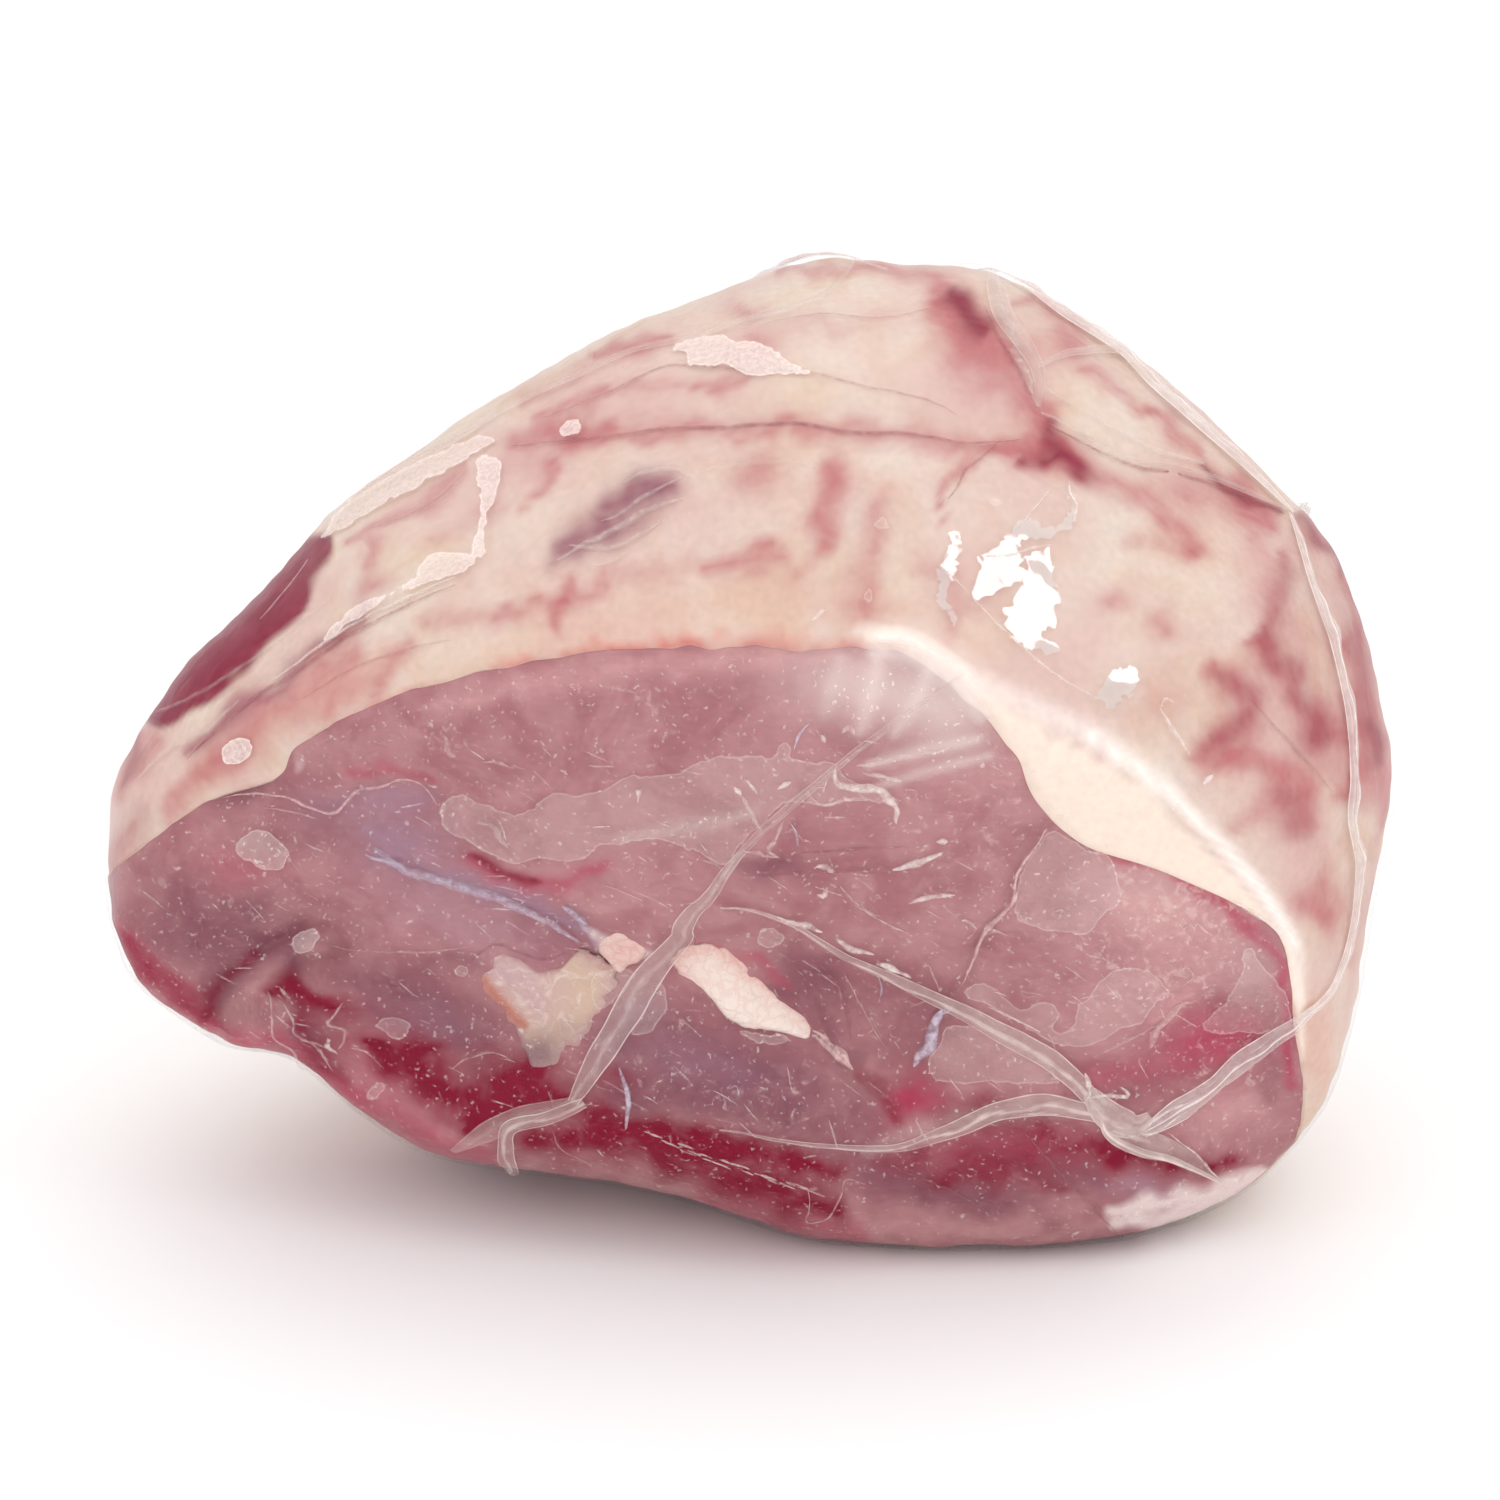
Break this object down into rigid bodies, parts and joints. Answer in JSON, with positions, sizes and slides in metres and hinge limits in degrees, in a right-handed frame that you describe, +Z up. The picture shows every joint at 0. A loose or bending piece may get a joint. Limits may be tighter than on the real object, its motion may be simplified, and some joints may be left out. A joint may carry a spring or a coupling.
{
  "type": "vacuum-packed bone-in pork leg",
  "caption": "Bone-in leg of pork in a clear shrink bag: a fat cap over the top and back, and a cut face with muscles, seam fat and the bone end.",
  "frame": {"origin": "middle of the bounding box at its base, on the table", "axes": "+Z up, +X to the right as seen from the cut face, -Y out of the cut face towards the viewer"},
  "size_m": [0.2798, 0.1706, 0.2027],
  "materials": {
    "lean": "moist, under clear film",
    "fat": "moist, under clear film",
    "seam_fat": "moist, under clear film",
    "bone": "moist, under clear film",
    "film": "clear, glossy"
  },
  "bodies": {
    "root": {"lean_meat": "lean", "fat_cap": "fat", "leg_bone": "bone", "seam_fat_left": "seam_fat", "seam_fat_middle": "seam_fat", "shrink_film": "film"}
  },
  "joints": []
}
